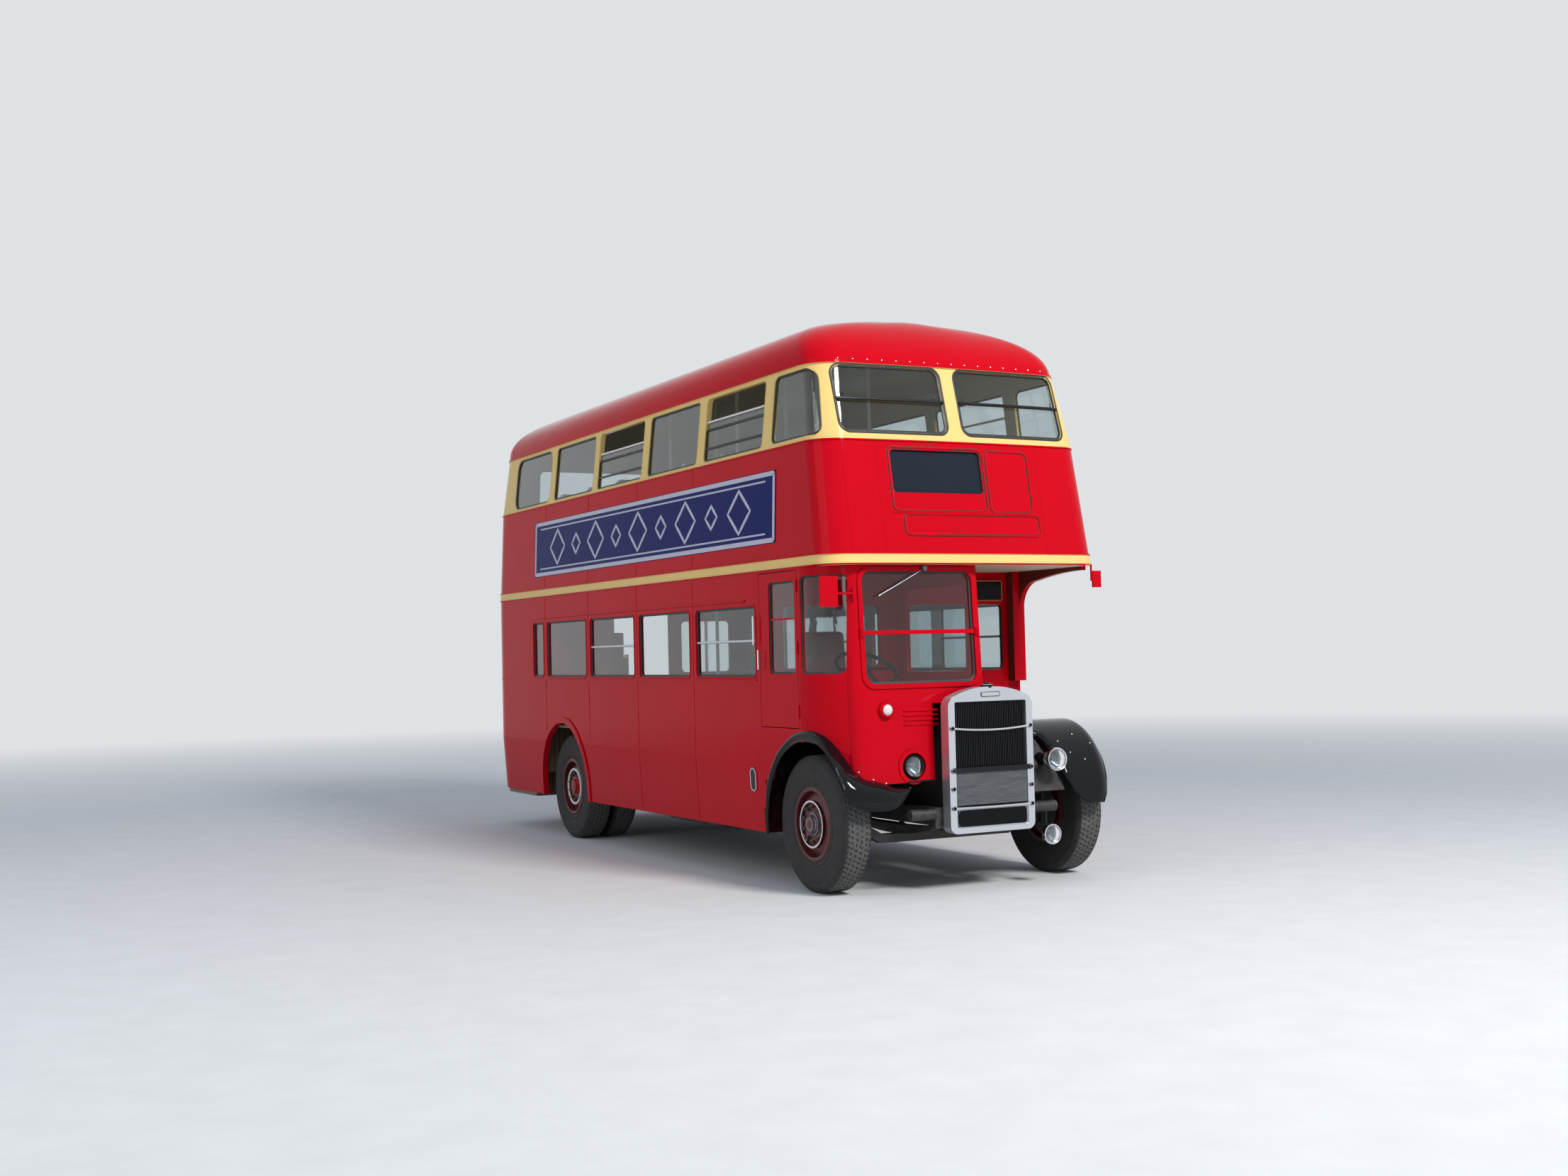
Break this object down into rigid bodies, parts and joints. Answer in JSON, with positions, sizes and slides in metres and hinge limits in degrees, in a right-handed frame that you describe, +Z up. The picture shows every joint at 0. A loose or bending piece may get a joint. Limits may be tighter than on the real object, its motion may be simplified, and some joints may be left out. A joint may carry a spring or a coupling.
{
  "type": "half-cab double decker bus",
  "caption": "Half-cab double decker bus with open rear platform, exposed radiator, separate front wings and twin rear wheels.",
  "frame": {"origin": "on the road, at the centre of the bus in length and width", "axes": "+Y to the rear of the bus, +X to its nearside (entrance side), +Z up"},
  "size_m": [2.57, 7.924, 4.356],
  "materials": {
    "red_paint": "gloss body paint",
    "black_paint": "gloss black enamel",
    "frame_paint": "dull black chassis paint",
    "iron": "cast metal, oily",
    "aluminium": "satin radiator shell",
    "grille_black": "black slats",
    "cover_grey": "grey blanking sheet",
    "glass": "clear safety glass",
    "tyre": "worn black tread",
    "wheel_paint": "red-brown wheel paint",
    "chrome": "bright plate",
    "floor_wood": "slatted floor",
    "seat_fabric": "moquette",
    "rail_white": "pale covered rail",
    "board_blue": "enamelled display board",
    "lining": "cream lining"
  },
  "bodies": {
    "root": {"battery_box": "frame_paint", "bulkheads": "red_paint", "cab_floor": "frame_paint", "cab_front": "red_paint", "cab_glass": "glass", "cab_side": "red_paint", "chassis_frame": "frame_paint", "drive_line": "iron", "driver_seat": "seat_fabric", "engine_block": "iron", "exhaust": "iron", "front_axle_beam": "frame_paint", "fuel_tank": "frame_paint", "handrails": "rail_white", "lamps": "chrome", "leaf_springs": "frame_paint", "lower_floor": "floor_wood", "lower_glass": "glass", "lower_rear_panel": "red_paint", "lower_seats": "seat_fabric", "lower_side_nearside": "red_paint", "lower_side_offside": "red_paint", "mirrors": "red_paint", "radiator_cover": "cover_grey", "radiator_grille": "grille_black", "radiator_shell": "aluminium", "rear_axle": "frame_paint", "roof": "red_paint", "side_boards": "board_blue", "staircase": "red_paint", "steering_wheel": "black_paint", "upper_floor": "lining", "upper_front_panel": "red_paint", "upper_glass": "glass", "upper_rear_panel": "red_paint", "upper_seats": "seat_fabric", "upper_side_nearside": "red_paint", "upper_side_offside": "red_paint", "wing_nearside": "black_paint", "wing_offside": "black_paint"},
    "cab_door": {"cab_door": "red_paint", "cab_door_glass": "glass"},
    "bonnet": {"bonnet": "red_paint"},
    "track_rod": {"track_rod": "frame_paint"},
    "knuckle_offside": {"knuckle_offside": "iron"},
    "knuckle_nearside": {"knuckle_nearside": "iron"},
    "front_wheel_offside": {"front_tyre_offside": "tyre", "front_wheel_offside": "wheel_paint"},
    "front_wheel_nearside": {"front_tyre_nearside": "tyre", "front_wheel_nearside": "wheel_paint"},
    "rear_wheels_offside": {"rear_tyres_offside": "tyre", "rear_wheels_offside": "wheel_paint"},
    "rear_wheels_nearside": {"rear_tyres_nearside": "tyre", "rear_wheels_nearside": "wheel_paint"}
  },
  "joints": [
    {"name": "steer_offside", "type": "hinge", "parent": "root", "child": "knuckle_offside", "pos_m": [-0.84, -3.2625, 0.506], "axis": [0, 0, 1], "range_deg": [-35, 35]},
    {"name": "steer_nearside", "type": "hinge", "parent": "root", "child": "knuckle_nearside", "pos_m": [0.84, -3.2625, 0.506], "axis": [0, 0, 1], "range_deg": [-35, 35]},
    {"name": "track_rod_pivot", "type": "hinge", "parent": "knuckle_offside", "child": "track_rod", "pos_m": [-0.84, -3.0625, 0.34], "axis": [0, 0, 1], "range_deg": [-35, 35]},
    {"name": "roll_front_offside", "type": "hinge", "parent": "knuckle_offside", "child": "front_wheel_offside", "pos_m": [-1.03, -3.2625, 0.506], "axis": [1, 0, 0], "continuous": true},
    {"name": "roll_front_nearside", "type": "hinge", "parent": "knuckle_nearside", "child": "front_wheel_nearside", "pos_m": [1.03, -3.2625, 0.506], "axis": [1, 0, 0], "continuous": true},
    {"name": "roll_rear_offside", "type": "hinge", "parent": "root", "child": "rear_wheels_offside", "pos_m": [-0.875, 1.7155, 0.506], "axis": [1, 0, 0], "continuous": true},
    {"name": "roll_rear_nearside", "type": "hinge", "parent": "root", "child": "rear_wheels_nearside", "pos_m": [0.875, 1.7155, 0.506], "axis": [1, 0, 0], "continuous": true},
    {"name": "cab_door_hinge", "type": "hinge", "parent": "root", "child": "cab_door", "pos_m": [-1.222, -3.2455, 1.8], "axis": [0, 0, 1], "range_deg": [0, 75]},
    {"name": "bonnet_hinge", "type": "hinge", "parent": "root", "child": "bonnet", "pos_m": [0.087, -3.2625, 1.44], "axis": [0, -1, 0], "range_deg": [0, 55]}
  ],
  "couplings": [
    {"joint": "steer_nearside", "follows": "steer_offside", "ratio": 1},
    {"joint": "track_rod_pivot", "follows": "steer_offside", "ratio": -1}
  ]
}
